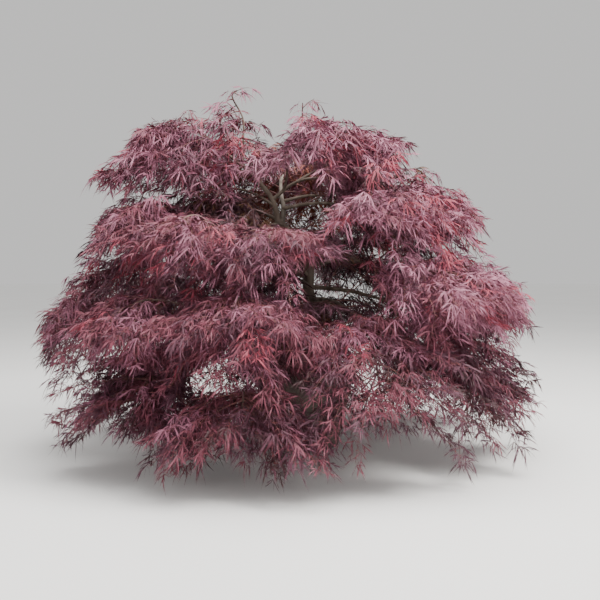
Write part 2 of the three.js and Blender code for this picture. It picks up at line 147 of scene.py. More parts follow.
# Masses of foliage: the furthest tip as azimuth, reach and height, the width across, the angle at
# which the end hangs, and the limb that carries the mass where it isn't the bough of its own name
MASSES = {
    "top_left": (182, 810, 1150, 460, 40, "stem_left"),
    "top_back": (84, 800, 1060, 460, 45, "stem_right"),
    "left_spray": (185, 930, 1105, 180, 20),
    "leader": (180, 205, 1543, 130, -15),
    "top_right": (0, 430, 1130, 370, 42),
    "top_centre": (-78, 480, 1100, 440, 48),
    "left_upper": (198, 925, 770, 470, 42),
    "left_front": (232, 880, 700, 440, 50),
    "front": (260, 830, 660, 400, 45),
    "front_right": (-62, 760, 810, 420, 42),
    "right_upper": (-6, 780, 835, 470, 42),
    "right_back": (42, 860, 830, 460, 40),
    "back_left": (130, 890, 810, 460, 40),
    "back": (86, 910, 620, 460, 42),
    "left_outer": (186, 1150, 250, 480, 56),
    "left_front_low": (219, 1000, 330, 460, 60),
    "front_low": (252, 950, 350, 460, 60),
    "right_outer": (-4, 915, 430, 480, 52),
    "right_front": (-45, 920, 440, 460, 60),
    "right_back_low": (32, 970, 330, 480, 60),
    "back_left_low": (152, 1045, 330, 500, 60),
    "skirt_left_front": (256, 945, 32, 540, 56),
    "skirt_left": (225, 955, 36, 520, 60),
    "skirt_right_front": (-72, 915, 110, 540, 56),
    "skirt_right": (-27, 900, 60, 540, 58),
    "skirt_back_right": (40, 910, 60, 540, 60),
    "skirt_back": (94, 930, 50, 540, 60),
    "skirt_back_left": (154, 970, 50, 540, 60),
}
LEAF_LENGTH = 196  # reach of a spray, which the source draws as one leaf
LEAF_SHARE_OF_WIDTH = 0.6
LEAF_HEEL = 0.13
LEAF_DROOP = 0.3
STEM_STIFFNESS = 0.45
STEM_TIP_RADIUS = 3.6
TWIGS_PER_MASS = 5
TWIG_FAN = 56
TWIG_FAN_RANGE = 16
TWIG_FULLEST = 0.45
TWIG_DROP = 0.34
TWIG_SPACING = (0.9, 0.6)  # steps before the first twig, and steps in all beyond their number
TWIG_THINNING = 2
TWIG_LENGTHS = (0.9, 0.25)  # the least, and how much chance adds

# The openings in the crown, on the plane Y = 0 as seen from the eye: left, right, bottom and top
EYE = np.array([0.0, -3500.0, 770.0])
OPENINGS = [(-225, 125, 955, 1165), (-18, 300, 615, 800), (-195, -40, 1295, 1640)]
OPENING_POWER = 3  # 2 makes an ellipse, and more a rounder rectangle
OPENING_DEPTHS = (20, 280)  # between these depths, more and more leaves close the view

# The crown's roof, half an ellipsoid, which only the leader rises above
ROOF_CENTRE = np.array([-175.0, 0.0, 300.0])
ROOF_RADII = np.array([1190.0, 1190.0, 1205.0])
ROOF_BOTTOM = 0.5  # it limits growth above this share of its height
LEADER_FOOT = np.array([-235.0, 0.0])
LEADER_ROOM = 115

# The crown's edges on the plane Y = 0 as seen from the eye: height, left edge and right edge
SIDES = np.array([
    (0, -1150, 1060), (300, -1150, 1060), (530, -1170, 1000), (670, -1100, 990), (830, -990, 860),
    (960, -900, 790), (1080, -900, 700), (1120, -940, 670), (1220, -920, 580), (1260, -800, 540),
    (1400, -700, 400), (1480, -450, 240),
])

# Finer growth. Most pairs are the least and the greatest of what chance gives, and arches and drops
# are shares of the length.
# Twigs
TWIG_ARCH = 0.07
TWIG_POINTS = 6
TWIG_RADII = (3.2, 1.8)  # at the root and at the tip
TWIG_SIDES = 4
TWIG_NODES = (0.3, 41)  # the first pair of leaves, as a share, and the way to the next
TWIG_SHORTENING = 0.8  # while a twig would end beyond the crown's edge
SHORTEST_TWIG = 60
# Shoots, on the twigs
SHOOT_PLACES = (0.38, 0.7, 1.0)
SLIM_REACH = 110  # a spray of less reach has its end shoot only
SHOOT_ARCH = 0.1
SHOOT_POINTS = 3
SHOOT_RADII = (1.7, 0.9)
SHOOT_SIDES = 3
SHOOT_NODES = (0.3, 36)
SHOOT_FAN = 46
SHOOT_FAN_STRAY = (-16, 16)
SHOOT_TURN = (-10, 10)
SHOOT_LENGTHS = (0.7, 1.25)  # shares of what the spray's reach leaves
SHORTEST_SHOOT = 45
SHOOT_DROPS = (-0.2, 0.45)  # over its twig's drop
SHOOT_CLEARANCE = 18  # over the ground, with room for its leaves
# Leaves
PAIR_FAN = 58
PAIR_STRAY = (-30, 30)
PETIOLE = 24
PETIOLE_RADIUS = 1.0
PETIOLE_LENGTHS = (0.6, 1.3)  # shares of PETIOLE
PETIOLE_RISE = (-0.4, 0.5)
BLADE = 70  # length of a leaf's middle lobe
BLADE_LENGTHS = (0.72, 1.15)  # shares of BLADE
BLADE_HANG = (-0.4, 0.7)
BLADE_ROLL = (-0.9, 0.9)
BLADE_DROOP = (0.3, 0.9)
BLADE_ROOM = (1, 1, 0.2)  # shares of a leaf's length that it needs to each side, and up and down
TIP_REACH = 0.7
TIP_HANG = 0.5  # the share of its hang by which its tips fall
FRONT_BLADE = 0.78  # leaves at the crown's front are this share as large, and stand closer
EDGE_MARGINS = (-12, 45)  # how far inside the crown's edges leaves end, and how far into its openings
OUTWARD_PULL = 0.4  # how far leaves and shoots turn outwards at the reach below
FULL_PULL_REACH = 700
NUDGE = 1e-6  # gives a way to a line that hangs straight down
GROUND_CLEARANCE = 3

# Twigs of a mass: the source's, and their partners further along the stem
NARROW = 150  # a mass of less width than this has no partners, side twigs or end twigs
BROAD = 460  # one of this width or more has more partners
SKIRT = 500  # one of this width or more is a skirt, which ends broad
PARTNER_STEPS = {"full": (0.05, 0.11), "broad": (0.03, 0.06, 0.1, 0.14)}
NEAR_STEP = 0.1  # a partner nearer than this is across the stem from the twig
FAR_PARTNER_FAN = 0.5
PARTNER_LENGTH = 0.85  # share of the twig's
PARTNER_LENGTHS = (0.75, 1.15)
PARTNER_DROPS = (-0.3, 0.3)  # over its twig's drop
# Side twigs: places along the stem, and drop
HANGING = ((0.2, 0.42, 0.64, 0.86), (1.0, 1.4))
RISING = ((0.02, 0.12, 0.28, 0.5), (-0.65, -0.1))
SIDE_TWIG_FAN = (-80, 80)
SIDE_TWIG_LENGTH = 125
SIDE_TWIG_LENGTHS = (0.7, 1.3)
OUTER_REACH = 0.9  # of the sprays of side and end twigs
# End twigs: places along the stem and fans, and length as a share of the mass's width
END_TWIGS = {
    "full": ((0.84, 64), (0.95, 92)),
    "skirt": ((0.7, 60), (0.78, 75), (0.86, 58), (0.95, 85)),
}
END_TWIG_SHARES = {"full": 0.34, "skirt": 0.42}
END_TWIG_LENGTHS = (0.8, 1.15)
END_TWIG_STRETCH = 1.15  # of a level one, and less the more it hangs
END_DROPS = (0.3, 0.9)  # shares of the fall at which the mass hangs
SKIRT_DROPS = (0.45, 0.85)
END_SHOOT_FANS = (-34, 0, 34)
SHORTEST_END_SHOOT = 50
STEM_PARTS = 4  # with a tint each
STEM_PART_POINTS = 5
STEM_NODES = (0.05, 48)

# Twigs inside the crown, by how leafy the limb is: the share of its length where they begin, the
# way from one to the next, their length, the reach of their sprays, and their fan and drop
INNER = {
    "open": (0.35, 54, 170, 176, (35, 80), (-0.4, 0.9)),
    "dense": (0.25, 28, 170, 176, (35, 80), (-0.9, 0.9)),
    "crest": (0.0, 12, 190, 170, (10, 170), (-0.9, 0.6)),
}
INNER_LENGTHS = (0.6, 1.2)
OPEN_LIMBS = (
    "right_upper", "top_right", "top_centre", "left_front", "front", "front_right", "right_back",
    "back_left", "left_outer", "right_outer", "back_left_low",
)
LEAFINESS = {"leader": "crest", **dict.fromkeys(OPEN_LIMBS, "open")}  # and the others are dense

# Seeds of what is drawn by chance, to which masses and limbs add their number
TWIG_RULE_SEED = 100  # the source's
MASS_SEED = 500
INNER_SEED = 900
LEAF_SEED = 77
SOIL_SEED = 9

LEAVES_PER_PIECE = 2900
CAD_LOW, CAD_HIGH = (np.array(corner) / MM for corner in CAD_BOX)
MAY_PASS = 0.012 * (CAD_HIGH - CAD_LOW)  # how far leaves may pass the source's box

# Tints of the leaves, and how the sprays of each part of the crown share them. The shares paint light
# and
# shade: lighter tints at the top and on the sunny right are painted sunlight, darker tints inside and
# low down are painted shade, and the red-brown tint at the fork is a painted glow of leaves lit from
# behind.
TINTS = {
    # painted shade: the darkest tint, for sprays inside the crown and on the skirts
    "shade": (0.048, 0.018, 0.022),
    "plum": (0.094, 0.035, 0.053),
    "burgundy": (0.158, 0.043, 0.063),
    # the leaves' bloomed colour, and partly painted top light, as the upper tiers get more of it
    "mauve": (0.230, 0.083, 0.126),
    # painted light: the brightest tint, for sprays where the sun falls, on the right side and at the top
    "sunlit_rose": (0.320, 0.132, 0.190),
    "crimson": (0.285, 0.052, 0.078),
    "bronze": (0.100, 0.044, 0.024),
    # painted light: a red-brown glow of leaves lit from behind, dealt to the sprays at the fork
    "backlit_red": (0.180, 0.050, 0.030),
}
TINT_SHARES = {
    "fork": {"backlit_red": 0.45, "burgundy": 0.2, "bronze": 0.2, "plum": 0.15},
    "inside": {"bronze": 0.12, "shade": 0.5, "plum": 0.38},
    "sunny": {"sunlit_rose": 0.29, "mauve": 0.38, "burgundy": 0.2, "plum": 0.05, "crimson": 0.08},
    "top": {"sunlit_rose": 0.13, "mauve": 0.43, "burgundy": 0.3, "plum": 0.08, "crimson": 0.06},
    "upper": {"mauve": 0.36, "burgundy": 0.39, "plum": 0.2, "crimson": 0.05},
    "middle": {"mauve": 0.25, "burgundy": 0.4, "plum": 0.32, "crimson": 0.03},
    "right skirt": {"burgundy": 0.3, "plum": 0.45, "shade": 0.25},
    "left skirt": {"mauve": 0.12, "burgundy": 0.38, "plum": 0.38, "shade": 0.12},
}
# Where the crown's parts lie, and so where the painted backlit glow, sunlight and shade fall; each tier
# higher up gets lighter tints, as painted top light
FORK = (420, 820, 1260, -30)  # reach from the middle, bottom, top and front
INSIDE = (480, 1100)  # reach and top
SUNNY_BOTTOM = 600  # on the right
TIER_BOTTOMS = {"top": 1150, "upper": 850, "middle": 480}
YOUNG_CRIMSON = 0.07  # share of the end shoots above the skirt

# Skins of the limbs: where their relief is read in the noise, their sides, the way between rings,
# and how much wider the limb is at its root
SKINS = {
    "trunk": (0.0, 72, 4.0, 0.0),
    "stem_left": (3.1, 48, 4.0, 0.45),
    "stem_right": (1.7, 40, 4.0, 0.45),
    "bough": (5.0, 16, 7.0, 0.45),
    "mass_stem": (40.0, 7, 11.0, 0.0),
}
FEWEST_RINGS = 8
COLLAR_REACH = 2.2  # how far that goes up the limb, as a share of its radius
FULL_RELIEF_RADIUS = 26  # a thinner limb has a shallower relief
# Relief: the noise's scale round the limb and along it, and height
COARSE_BARK = (2.2, 0.012, 1.5)
CRACKS = (4.5, 0.02, 1.4)
CRACK_WIDTH = 0.12
FINE_BARK = (0.35, 0.13, 0.45)
BARK_RINGS = (0.22, 2.0, 0.12)  # radians for each millimetre, sway and height
ASKEW = np.array([0.31, 0.17, 0.93])  # no twig or stalk runs this way

# A lobe's outline as shares of its length: stations of its core, and the tips of its teeth, which
# stand on the core's left and right edge in turn between two stations
LONG_LOBE = (((0.0, 0.009), (0.36, 0.023), (0.70, 0.021), (1.0, 0.0)), ((0.54, 0.105), (0.88, -0.090)))
SIDE_LOBE = (((0.0, 0.010), (0.48, 0.028), (1.0, 0.0)), ())
SHORT_LOBE = (((0.0, 0.030), (1.0, 0.0)), ())
LOBES = (
    (0, 1.0, LONG_LOBE), (27, 0.95, LONG_LOBE), (-27, 0.95, LONG_LOBE),
    (58, 0.8, SIDE_LOBE), (-58, 0.8, SIDE_LOBE), (96, 0.52, SHORT_LOBE), (-96, 0.52, SHORT_LOBE),
)
LOBE_TURN = (-15, 15)
LOBE_LENGTHS = (0.7, 1.1)
LOBE_TWIST = (-1.5, 1.5)
LOBE_BEND = (-0.65, 0.65)
LOBE_SAG = (0.3, 1.6)
SHAPES_PER_PIECE = 12

# Surfaces: roughness, specular level, the bump's noise, strength and distance, and the noise that
# mixes the colours, with their places in it. A noise has a scale, a detail and, where it isn't 1, the
# share of its scale upwards.
SURFACES = {
    "leaf": (0.5, 0.25, (260, 2), 0.35, 0.0008, None, None),
    "shoot": (0.6, 0.5, (300, 3), 0.3, 0.0005, (90, 3), (0.35, 0.65)),
    "bark": (0.88, 0.5, (120, 8, 0.3), 0.7, 0.0015, (22, 8, 0.35), (0.3, 0.5, 0.7)),
    "clay": (0.82, 0.5, (180, 6), 0.4, 0.0008, (7, 8), (0.3, 0.55, 0.75)),
    "soil": (0.95, 0.5, (220, 6), 0.8, 0.003, (140, 6), (0.3, 0.55, 0.75)),
    "floor": (0.9, 0.5, None, 0, 0, (0.8, 2), (0.3, 0.7)),
}
# Materials: their surface, and their one colour or the colours that a noise mixes
MATERIALS = {
    **{f"leaf_{tint}": ("leaf", colour) for tint, colour in TINTS.items()},
    "bark_brown": ("bark", (0.05, 0.035, 0.026), (0.11, 0.08, 0.062), (0.19, 0.148, 0.118)),
    "bark_grey": ("bark", (0.075, 0.06, 0.05), (0.16, 0.132, 0.11), (0.25, 0.212, 0.18)),
    "bark_young": ("bark", (0.05, 0.03, 0.026), (0.12, 0.075, 0.062), (0.2, 0.15, 0.12)),
    "young_wood": ("shoot", (0.085, 0.03, 0.03), (0.17, 0.06, 0.055)),
    "leaf_stalks": ("shoot", (0.2, 0.05, 0.06), (0.3, 0.08, 0.09)),
    "fired_clay": ("clay", (0.055, 0.043, 0.036), (0.088, 0.070, 0.059), (0.14, 0.116, 0.098)),
    "potting_soil": ("soil", (0.016, 0.011, 0.008), (0.045, 0.03, 0.02), (0.11, 0.075, 0.05)),
    "studio_floor": ("floor", (0.80, 0.80, 0.79), (0.83, 0.83, 0.82)),
}

# The studio, in metres and degrees
FLOOR_RADIUS = 40
FLOOR_DROP = 0.001
WORLD_COLOUR = (0.98, 0.97, 0.96, 1.0)
WORLD_STRENGTH = 0.75
# Lights: kind, place, size of a panel or angle of a sun, power and colour
LIGHTS = {
    "key": ("AREA", (2.8, -1.9, 4.4), 2.2, 440, (1.0, 0.97, 0.93)),
    "sky": ("AREA", (-0.3, -0.5, 5.0), 4.0, 330, (1.0, 0.98, 0.96)),
    "front": ("SUN", (-2.4, -4.2, 1.7), 50, 1.3, (1.0, 0.98, 0.96)),
    "fill": ("SUN", (3.4, -3.6, 1.8), 50, 0.6, (1.0, 0.98, 0.96)),
}
LIGHTS_AIM = Vector((0, 0, 0.8))
CAMERA_PLACE = (-0.0175, -3.5, 0.77)
CAMERA_DIP = 2.2
LENS = 48
SENSOR_WIDTH = 36


def unit(vectors):
    return vectors / np.linalg.norm(vectors, axis=-1, keepdims=True)


def level(vector):
    return unit(np.array([vector[0], vector[1], 0.0]))


def polar(azimuth, reach, height):
    angle = math.radians(azimuth)
    return np.array([reach * math.cos(angle), reach * math.sin(angle), height])


def turned(way, degrees):
    """Vectors turned about +Z."""
    angle = np.radians(degrees)
    x, y, z = np.moveaxis(np.asarray(way, float), -1, 0)
    cosine, sine = np.cos(angle), np.sin(angle)
    return np.stack([x * cosine - y * sine, x * sine + y * cosine, z], axis=-1)


def seeded(seed):
    """The source's repeatable numbers from 0 to 1."""
    state = seed
    while True:
        state = (state * 1664525 + 1013904223) % 2**32
        yield state / 2**32


class Route:
    """A curve of sampled points, read by the share of its length."""

    def __init__(self, points):
        self.points = np.asarray(points, float)
        steps = np.linalg.norm(np.diff(self.points, axis=0), axis=1)
        self.along = np.concatenate([[0.0], np.cumsum(steps)])
        self.length = self.along[-1]

    def at(self, share):
        place = np.asarray(share) * self.length
        return np.stack([np.interp(place, self.along, column) for column in self.points.T], axis=-1)

    def heading(self, share):
        ahead = np.minimum(np.asarray(share) + HEADING_STEP, 1.0)
        return unit(self.at(ahead) - self.at(ahead - 2 * HEADING_STEP))

    def level_way(self, share, degrees):
        """The level way in which the route runs, turned to a side."""
        return turned(level(self.heading(share)), degrees)


def smooth_route(points):
    """A smooth curve through points."""
    points = np.asarray(points, float)
    padded = np.vstack([2 * points[0] - points[1], points, 2 * points[-1] - points[-2]])
    t = np.linspace(0, 1, STEPS_PER_POINT, endpoint=False)[:, None]
    pieces = []
    for a, b, c, d in zip(padded, padded[1:], padded[2:], padded[3:]):
        start = (c - a) / 2
        end = (d - b) / 2
        square = 3 * (c - b) - 2 * start - end
        cube = 2 * (b - c) + start + end
        pieces.append(b + start * t + square * t**2 + cube * t**3)
    return Route(np.vstack([*pieces, points[-1:]]))


def bezier_route(a, b, c, d):
    """A curve from a to d, which leaves a towards b and reaches d from c."""
    t = np.linspace(0, 1, BEZIER_STEPS)[:, None]
    return Route(a * (1 - t) ** 3 + 3 * b * t * (1 - t) ** 2 + 3 * c * t**2 * (1 - t) + d * t**3)


class Limb:
    """A route with a radius that tapers evenly."""

    def __init__(self, route, root_radius, tip_radius):
        self.route = route
        self.root_radius = root_radius
        self.tip_radius = tip_radius

    def radius(self, share):
        return self.root_radius + (self.tip_radius - self.root_radius) * share


def grow_limbs():
    """Trunk, stems and boughs by the source's rule."""
    limbs = {}
    for name, (points, radii) in {"trunk": TRUNK, **STEMS}.items():
        limbs[name] = Limb(smooth_route(points), *radii)
    for index, (name, (parent, share, azimuth, reach, height, arch, girth)) in enumerate(BOUGHS.items()):
        random = seeded(index + 1)
        root = limbs[parent].route.at(share)
        tip = polar(azimuth, reach, height)
        side = np.cross(level(tip - root), UP)
        stray = BOUGH_WANDER * np.linalg.norm(tip - root)
        route = []
        for along in (0, 1 / 3, 2 / 3, 1):
            bend = (next(random) * 2 - 1) * stray if 0 < along < 1 else 0
            route.append(root + (tip - root) * along + side * bend + UP * 4 * arch * along * (1 - along))
        limbs[name] = Limb(smooth_route(route), girth, girth * BOUGH_TIP_SHARE)
    return limbs


def mass_stem(limbs, name, azimuth, reach, height, width, hang, carrier=None):
    """The stem of a mass: it goes on from its limb and hangs over towards the mass's tip."""
    limb = limbs[carrier or name]
    leaf_length = min(LEAF_LENGTH, LEAF_SHARE_OF_WIDTH * width)
    tip = polar(azimuth, reach, height)
    heading = limb.route.heading(1.0)
    start = limb.route.at(1.0)
    fall = level(tip - start) * math.cos(math.radians(hang)) - UP * math.sin(math.radians(hang))
    end = tip - fall * (1 + LEAF_HEEL) * leaf_length + UP * LEAF_DROOP * leaf_length
    pull = STEM_STIFFNESS * np.linalg.norm(end - start)
    route = bezier_route(start, start + heading * pull, end - fall * pull, end)
    return Limb(route, limb.tip_radius, STEM_TIP_RADIUS), leaf_length


def seen(places):
    """Where the eye sees places on the plane Y = 0: X and height."""
    scale = -EYE[1] / (places[..., 1] - EYE[1])
    return places[..., 0] * scale, EYE[2] + (places[..., 2] - EYE[2]) * scale


def beyond_sides(places, margin=0.0):
    """Which places the eye sees beyond the crown's edges."""
    x, z = seen(places)
    heights, left, right = SIDES.T
    return (x < np.interp(z, heights, left) + margin) | (x > np.interp(z, heights, right) - margin)


def in_opening(places, margin=0.0, depth=OPENING_DEPTHS[1]):
    """Which places show in an opening of the crown as seen from the eye."""
    x, z = seen(places)
    inside = np.zeros(x.shape, bool)
    for left, right, bottom, top in OPENINGS:
        across = np.abs(x - (left + right) / 2) / ((right - left) / 2 - margin)
        above = np.abs(z - (bottom + top) / 2) / ((top - bottom) / 2 - margin)
        inside |= across**OPENING_POWER + above**OPENING_POWER < 1
    return inside & (places[..., 1] < depth)


def above_roof(places):
    """Which places are above the crown's roof and away from the leader."""
    outside = np.linalg.norm((places - ROOF_CENTRE) / ROOF_RADII, axis=-1) > 1
    away = np.linalg.norm(places[..., :2] - LEADER_FOOT, axis=-1) > LEADER_ROOM
    return outside & away & (places[..., 2] > ROOF_CENTRE[2] + ROOF_BOTTOM * ROOF_RADII[2])


def out_of_bounds(end):
    """Whether a twig or shoot that ends here would stick out of the crown or into an opening."""
    return beyond_sides(end) or above_roof(end) or in_opening(end, depth=OPENING_DEPTHS[0])


class Growth:
    """What has grown so far: lines for tubes, and leaves."""

    def __init__(self):
        self.twigs = []
        self.shoots = []
        self.petioles = []
        self.leaves = []


def arched(root, way, length, drop, arch, count):
    """Points from a root along a level way, arching up and ending lower by a share of the length."""
    share = np.linspace(0, 1, count)[:, None]
    return root + way * length * share + UP * length * (4 * arch * share * (1 - share) - drop * share)


def outward_pull(places):
    """What is added to ways at places, so that they turn away from the middle of the crown."""
    return places * (1, 1, 0) / FULL_PULL_REACH * OUTWARD_PULL


def leaf_share(places):
    """How large leaves are at places, from the front to the middle of the crown."""
    return np.clip(1 - places[..., 1] / EYE[1], FRONT_BLADE, 1.0)


def add_leaves(growth, rng, places, ways, tint):
    """A leaf on a stalk at each place, along each level way."""
    count = len(places)
    size = BLADE * rng.uniform(*BLADE_LENGTHS, count) * leaf_share(places)
    rise = rng.uniform(*PETIOLE_RISE, count)
    stalks = (ways + UP * rise[:, None]) * PETIOLE * rng.uniform(*PETIOLE_LENGTHS, (count, 1))
    centres = places + stalks
    hang = rng.uniform(*BLADE_HANG, count)
    roll = rng.uniform(*BLADE_ROLL, count)
    droop = rng.uniform(*BLADE_DROOP, count)
    fall = size * (droop + TIP_HANG * hang)
    tips = centres + ways * size[:, None] * TIP_REACH - UP * fall[:, None]
    margin = rng.uniform(*EDGE_MARGINS, count)
    depth = rng.uniform(*OPENING_DEPTHS, count)
    hidden = in_opening(centres, margin, depth) | in_opening(tips, margin, depth)
    room = size[:, None] * BLADE_ROOM - MAY_PASS
    beyond = ((centres - room < CAD_LOW) | (centres + room > CAD_HIGH)).any(axis=1)
    beyond |= beyond_sides((centres + tips) / 2, margin)
    keep = ~hidden & ~beyond & ~above_roof(centres) & (tips[:, 2] > GROUND_CLEARANCE)
    for i in np.flatnonzero(keep):
        growth.petioles.append((places[i], centres[i]))
        growth.leaves.append((*centres[i], *ways[i][:2], size[i], hang[i], roll[i], droop[i], tint))


def clothe(growth, rng, line, nodes, tint, ended=True):
    """Pairs of leaves along a line from its first node on, and one at its end."""
    route = Route(line)
    first, step = nodes
    shares = np.arange(first, 1.0, step * leaf_share(line[-1]) / route.length)
    places = np.concatenate([np.repeat(route.at(shares), 2, axis=0), line[-1:]])
    headings = np.concatenate([np.repeat(route.heading(shares), 2, axis=0), route.heading([1.0])])
    fans = np.append(np.tile([PAIR_FAN, -PAIR_FAN], len(shares)), 0)
    fans = fans + rng.uniform(*PAIR_STRAY, len(places))
    ways = turned(unit(headings * (1, 1, 0) + NUDGE), fans) + outward_pull(places)
    last = len(places) if ended else len(places) - 1
    add_leaves(growth, rng, places[:last], unit(ways)[:last], tint)


def add_shoot(growth, rng, root, way, length, drop, tint):
    """A young shoot with its leaves."""
    way = level(way + outward_pull(root))
    line = arched(root, way, length, drop, SHOOT_ARCH, SHOOT_POINTS)
    end = line[-1]
    if end[2] < SHOOT_CLEARANCE or out_of_bounds(end):
        return
    growth.shoots.append(line)
    clothe(growth, rng, line, SHOOT_NODES, tint)


def crown_part(place):
    """The part of the crown that a place is in, as TINT_SHARES names it."""
    x, y, z = place
    inside = math.hypot(x, y)
    fork_reach, fork_bottom, fork_top, fork_front = FORK
    if inside < fork_reach and fork_bottom < z < fork_top and y > fork_front:
        return "fork"
    inner_reach, inner_top = INSIDE
    if inside < inner_reach and z < inner_top:
        return "inside"
    if z > SUNNY_BOTTOM and x > 0:
        return "sunny"
    for tier, bottom in TIER_BOTTOMS.items():
        if z > bottom:
            return tier
    return "right skirt" if x > 0 else "left skirt"


def pick_tint(rng, place, young=False):
    """The tint of a spray: lighter where the sun falls and higher up, as painted sunlight, crimson at
    young ends, a painted glow of backlit leaves at the fork, and painted shade inside and low down.
    """
    if young and place[2] > TIER_BOTTOMS["middle"] and rng.random() < YOUNG_CRIMSON:
        return "crimson"
    shares = TINT_SHARES[crown_part(place)]
    return str(rng.choice(list(shares), p=list(shares.values())))


def add_twig(growth, rng, root, way, length, reach, drop=TWIG_DROP):
    """A twig with leaves, shoots to its left and right in turn, and one that goes on from its end."""
    line = arched(root, way, length, drop, TWIG_ARCH, TWIG_POINTS)
    while beyond_sides(line[-1]) and length > SHORTEST_TWIG:
        length *= TWIG_SHORTENING
        line = arched(root, way, length, drop, TWIG_ARCH, TWIG_POINTS)
    if out_of_bounds(line[-1]):
        return
    growth.twigs.append(line)
    clothe(growth, rng, line, TWIG_NODES, pick_tint(rng, line[TWIG_POINTS // 2]), ended=False)
    route = Route(line)
    for i, share in enumerate(SHOOT_PLACES if reach > SLIM_REACH else SHOOT_PLACES[-1:]):
        last = share == 1.0
        side = 0 if last else (1 if i % 2 else -1) * (SHOOT_FAN + rng.uniform(*SHOOT_FAN_STRAY))
        shoot_way = turned(way, side + rng.uniform(*SHOOT_TURN))
        shoot_length = max((reach - BLADE - PETIOLE) * rng.uniform(*SHOOT_LENGTHS), SHORTEST_SHOOT)
        shoot_drop = drop + rng.uniform(*SHOOT_DROPS)
        place = route.at(share)
        tint = pick_tint(rng, place, last)
        add_shoot(growth, rng, place, shoot_way, shoot_length, shoot_drop, tint)


def twig_rule(stem, width, random):
    """The source's twigs of one mass: share along the stem, way out, way aside and length."""
    first, after = TWIG_SPACING
    least, more = TWIG_LENGTHS
    for i in range(TWIGS_PER_MASS):
        share = (i + first) / (TWIGS_PER_MASS + after)
        outward = level(stem.route.heading(share))
        side = np.cross(outward, UP) * (1 if i % 2 == 0 else -1)
        fan = math.radians(TWIG_FAN + (next(random) - 0.5) * TWIG_FAN_RANGE)
        fullness = 1 - TWIG_THINNING * (share - TWIG_FULLEST) ** 2
        length = (width / 2) * fullness * (least + more * next(random))
        yield share, outward * math.cos(fan), side * math.sin(fan), length


def add_main_twigs(growth, rng, index, stem, width, leaf_length):
    """The source's twigs of one mass, and their partners."""
    steps = ()
    if width > NARROW:
        steps = PARTNER_STEPS["broad" if width >= BROAD else "full"]
    for share, ahead, aside, length in twig_rule(stem, width, seeded(TWIG_RULE_SEED + index)):
        add_twig(growth, rng, stem.route.at(share), ahead + aside, length, leaf_length)
        for step in steps:
            root = stem.route.at(min(share + step, 1.0))
            partner = length * PARTNER_LENGTH * rng.uniform(*PARTNER_LENGTHS)
            side = -aside if step < NEAR_STEP else aside * FAR_PARTNER_FAN
            drop = TWIG_DROP + rng.uniform(*PARTNER_DROPS)
            add_twig(growth, rng, root, ahead + side, partner, leaf_length, drop)


def add_side_twigs(growth, rng, stem, reach):
    """Short twigs that hang and rise from a mass's stem."""
    for places, drops in (HANGING, RISING):
        for share in places:
            way = stem.route.level_way(share, rng.uniform(*SIDE_TWIG_FAN))
            length = SIDE_TWIG_LENGTH * rng.uniform(*SIDE_TWIG_LENGTHS)
            drop = rng.uniform(*drops)
            add_twig(growth, rng, stem.route.at(share), way, length, reach, drop)


def add_end_twigs(growth, rng, stem, width, fall, reach):
    """Twigs that spread over a mass's end and hang as it does."""
    ending = "skirt" if width >= SKIRT else "full"
    drops = SKIRT_DROPS if width >= SKIRT else [share * fall for share in END_DROPS]
    for share, fan in END_TWIGS[ending]:
        for side in (-fan, fan):
            length = END_TWIG_SHARES[ending] * width * rng.uniform(*END_TWIG_LENGTHS)
            drop = rng.uniform(*drops)
            length *= END_TWIG_STRETCH / math.hypot(1, drop)
            way = stem.route.level_way(1.0, side)
            add_twig(growth, rng, stem.route.at(share), way, length, reach, drop)


def add_end_shoots(growth, rng, stem, fans, fall, leaf_length):
    """Shoots that go on from the end of a mass's stem."""
    end = stem.route.at(1.0)
    length = max(leaf_length - BLADE, SHORTEST_END_SHOOT) / math.hypot(1, fall)
    for side in fans:
        way = stem.route.level_way(1.0, side)
        add_shoot(growth, rng, end, way, length, fall, pick_tint(rng, end, True))


def clothe_stem(growth, rng, stem):
    """Leaves along a mass's stem."""
    for part in range(STEM_PARTS):
        shares = np.linspace(part / STEM_PARTS, (part + 1) / STEM_PARTS, STEM_PART_POINTS)
        line = stem.route.at(shares)
        tint = pick_tint(rng, line[STEM_PART_POINTS // 2])
        clothe(growth, rng, line, STEM_NODES, tint, ended=False)


def grow_mass(growth, index, stem, width, hang, leaf_length):
    """All twigs, shoots and leaves of one mass."""
    rng = np.random.default_rng(MASS_SEED + index)
    fall = math.tan(math.radians(hang))
    add_main_twigs(growth, rng, index, stem, width, leaf_length)
    if width <= NARROW:
        add_end_shoots(growth, rng, stem, (0,), fall, leaf_length)
        return
    add_side_twigs(growth, rng, stem, leaf_length * OUTER_REACH)
    add_end_twigs(growth, rng, stem, width, fall, leaf_length * OUTER_REACH)
    add_end_shoots(growth, rng, stem, END_SHOOT_FANS, fall, leaf_length)
    clothe_stem(growth, rng, stem)


def grow_inner(growth, index, limb, leafiness):
    """Twigs on the outer part of a limb, inside the crown."""
    rng = np.random.default_rng(INNER_SEED + index)
    share, step, full_length, reach, fans, drops = INNER[leafiness]
    side = 1
    while share < 1.0:
        way = limb.route.level_way(share, side * rng.uniform(*fans))
        length = full_length * rng.uniform(*INNER_LENGTHS)
        drop = rng.uniform(*drops)
        add_twig(growth, rng, limb.route.at(share), way, length, reach, drop)
        share += step / limb.route.length
        side = -side


